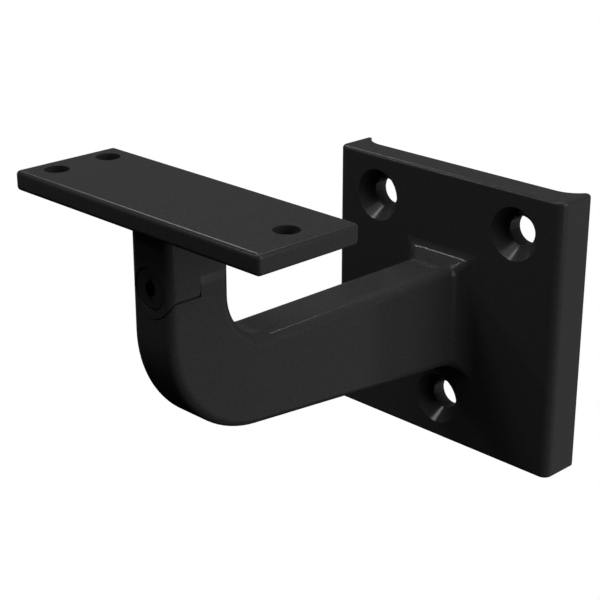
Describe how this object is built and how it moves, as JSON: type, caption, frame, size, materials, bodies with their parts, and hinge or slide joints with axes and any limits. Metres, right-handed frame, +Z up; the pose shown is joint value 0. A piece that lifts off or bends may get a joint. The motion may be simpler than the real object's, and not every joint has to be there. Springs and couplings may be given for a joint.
{
  "type": "handrail bracket",
  "caption": "Handrail bracket: a wall plate that hugs a square post, a bent tapered arm, and a flat rail saddle that tilts on a half-lap knuckle with a socket screw.",
  "frame": {"origin": "centre of the flat seat at the back of the wall plate, where it meets the post", "axes": "+X along a level rail, to the right of someone facing the post; +Y into the post; +Z up. The saddle is level at rest."},
  "size_m": [0.0712, 0.1006, 0.0775],
  "materials": {
    "powder_coat": "satin",
    "screw_black": "satin"
  },
  "bodies": {
    "bracket": {"wall_bracket": "powder_coat", "pivot_screw": "screw_black"},
    "saddle": {"saddle": "powder_coat"}
  },
  "joints": [
    {"name": "saddle_tilt", "type": "hinge", "parent": "bracket", "child": "saddle", "pos_m": [0, -0.0848, 0.0276], "axis": [0, 1, 0], "range_deg": [-35, 35]}
  ]
}
